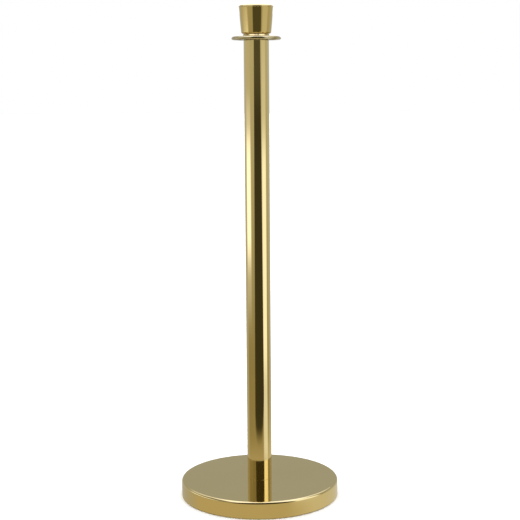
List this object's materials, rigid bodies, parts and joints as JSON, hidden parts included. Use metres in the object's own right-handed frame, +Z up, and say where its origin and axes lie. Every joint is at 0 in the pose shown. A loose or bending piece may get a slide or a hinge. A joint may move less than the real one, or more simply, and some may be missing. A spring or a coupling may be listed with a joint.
{
  "type": "rope barrier stanchion",
  "caption": "Free-standing rope barrier post with a weighted round base, a plain tube, a slotted hook ring and a flared, domed crown; post and crown unscrew, ring turns.",
  "frame": {"origin": "on the floor, on the post's axis, at the centre of the base's underside", "axes": "+Z up along the post; +X and +Y through the middle of two of the ring's four openings"},
  "size_m": [0.322, 0.322, 1],
  "materials": {
    "polished_gold": "mirror polished",
    "zinc_steel": "zinc plated",
    "black_steel": "black paint",
    "cement": "cast, matt",
    "black_rubber": "matt",
    "black_nylon": "satin"
  },
  "bodies": {
    "base": {"base_cover": "polished_gold", "base_weight": "cement", "base_pan": "black_steel", "floor_pad": "black_rubber", "base_stud": "zinc_steel", "clamp_plate": "zinc_steel", "spring_washer": "zinc_steel", "bottom_nut": "zinc_steel", "tube_locator": "zinc_steel", "locator_nut": "zinc_steel"},
    "bush": {"foot_bush": "black_nylon"},
    "post": {"post_tube": "polished_gold", "foot_plug": "zinc_steel", "foot_nut": "zinc_steel", "head_plug": "zinc_steel", "slip_washer": "black_nylon"},
    "ring": {"hook_ring": "polished_gold"},
    "collar": {"neck_collar": "polished_gold"},
    "crown": {"crown_shell": "polished_gold", "crown_cap": "polished_gold", "crown_boss": "zinc_steel", "crown_stud": "zinc_steel", "crown_nut": "zinc_steel"}
  },
  "joints": [
    {"name": "post_turn", "type": "hinge", "parent": "base", "child": "bush", "pos_m": [0, 0, 0.0375], "axis": [0, 0, 1], "range_deg": [0, 3240]},
    {"name": "post_lift", "type": "slide", "parent": "bush", "child": "post", "axis": [0, 0, 1], "range_m": [0, 0.018]},
    {"name": "ring_swivel", "type": "hinge", "parent": "post", "child": "ring", "pos_m": [0, 0, 0.9317], "axis": [0, 0, 1], "continuous": true},
    {"name": "crown_turn", "type": "hinge", "parent": "post", "child": "collar", "pos_m": [0, 0, 0.9378], "axis": [0, 0, 1], "range_deg": [0, 4320]},
    {"name": "crown_lift", "type": "slide", "parent": "collar", "child": "crown", "axis": [0, 0, 1], "range_m": [0, 0.021]}
  ],
  "couplings": [
    {"joint": "post_lift", "follows": "post_turn", "m_per_rad": 0.00031831},
    {"joint": "crown_lift", "follows": "crown_turn", "m_per_rad": 0.00027852}
  ]
}
